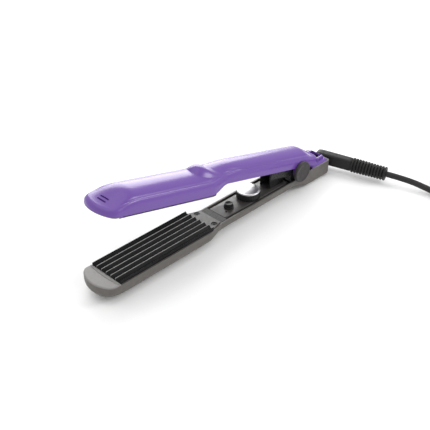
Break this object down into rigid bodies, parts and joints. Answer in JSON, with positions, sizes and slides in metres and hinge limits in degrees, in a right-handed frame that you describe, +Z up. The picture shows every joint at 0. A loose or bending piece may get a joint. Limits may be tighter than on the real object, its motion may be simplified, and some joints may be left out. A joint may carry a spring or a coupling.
{
  "type": "hair crimper",
  "caption": "Hair crimper with two hinged arms, meshing ridged hot plates, a sprung hinge, a push button, a temperature dial and a mains cord on a swivel outlet.",
  "frame": {"origin": "on the surface that the crimper rests on, under the middle of the object without its cord", "axes": "+X from the plate tips to the cord end, +Y across the arms, +Z up"},
  "size_m": [0.4693, 0.2192, 0.0994],
  "materials": {
    "purple_shell": "high gloss purple moulding",
    "grey_shell": "satin warm grey moulding",
    "grey_trim": "satin grey inner moulding",
    "light_grey_tip": "satin light grey cool tip",
    "panel_taupe": "semi gloss dark taupe panel",
    "black_plastic": "black moulding",
    "chrome_cap": "bright chrome",
    "red_lens": "dark red lens",
    "plate_black": "glossy black ceramic coated aluminium",
    "ceramic_white": "white ceramic",
    "steel": "plain steel",
    "black_screw": "black oxide steel",
    "board_green": "green circuit board",
    "board_blue": "blue component body",
    "lead_red": "silicone insulated wire",
    "cap_grey": "dark grey moulded cap",
    "nylon_white": "white nylon",
    "black_rubber": "soft black PVC",
    "cord_black": "black PVC cord jacket",
    "tie_black": "black hook and loop tie",
    "brass_pins": "plated brass"
  },
  "bodies": {
    "lower_arm": {"lower_case": "grey_shell", "lower_case_screws": "steel", "lower_cool_tip": "light_grey_tip", "lower_heater": "ceramic_white", "lower_inner_frame": "grey_trim", "lower_plate": "plate_black", "lower_plate_carrier": "black_plastic", "lower_plate_screws": "black_screw", "lower_wire_shroud": "black_plastic", "thermal_fuse": "steel", "neck_deck": "grey_trim", "control_panel": "panel_taupe", "button_ring": "black_plastic", "indicator_lens": "red_lens", "indicator_led": "red_lens", "circuit_board": "board_green", "tact_switch": "black_plastic", "dial_potentiometer": "board_blue", "heater_leads": "lead_red", "mains_leads": "lead_red", "hinge_bracket": "black_plastic", "hinge_pin": "steel", "hinge_cap_near": "cap_grey", "hinge_cap_far": "cap_grey", "return_spring": "steel", "rear_cover": "purple_shell", "swivel_socket": "black_plastic"},
    "upper_arm": {"upper_case": "purple_shell", "upper_cool_tip": "light_grey_tip", "upper_cover_screws": "black_screw", "upper_heater": "ceramic_white", "upper_inner_frame": "grey_trim", "upper_leads": "lead_red", "upper_neck_cover": "grey_trim", "upper_plate": "plate_black", "upper_plate_carrier": "black_plastic", "upper_wire_shroud": "black_plastic", "hinge_bushes": "nylon_white"},
    "dial": {"dial_knob": "black_plastic", "dial_cap": "chrome_cap", "dial_shaft": "steel"},
    "button": {"power_button": "black_plastic"},
    "cord_outlet": {"swivel_barrel": "black_plastic", "swivel_collar": "black_plastic", "strain_relief": "black_rubber", "cord_lead": "cord_black", "cord_coil": "cord_black", "cord_tail": "cord_black", "cord_tie": "tie_black", "plug_body": "black_rubber", "plug_pins": "brass_pins"}
  },
  "joints": [
    {"name": "arm_hinge", "type": "hinge", "parent": "lower_arm", "child": "upper_arm", "pos_m": [0.1033, 0, 0.0262], "axis": [0, 1, 0], "range_deg": [-14.8, 0], "stiffness_Nm_per_rad": 1.2, "springref_deg": 28.65, "deforming": ["return_spring"]},
    {"name": "dial_turn", "type": "hinge", "parent": "lower_arm", "child": "dial", "pos_m": [0.0424, 0, 0.0185], "axis": [0, 0, 1], "range_deg": [-135, 135]},
    {"name": "button_press", "type": "slide", "parent": "lower_arm", "child": "button", "axis": [0, 0, -1], "range_m": [0, 0.0015], "stiffness_N_per_m": 1500, "springref_m": -0.001},
    {"name": "cord_swivel", "type": "hinge", "parent": "lower_arm", "child": "cord_outlet", "pos_m": [0.151, 0, 0.0125], "axis": [1, 0, 0], "continuous": true}
  ]
}
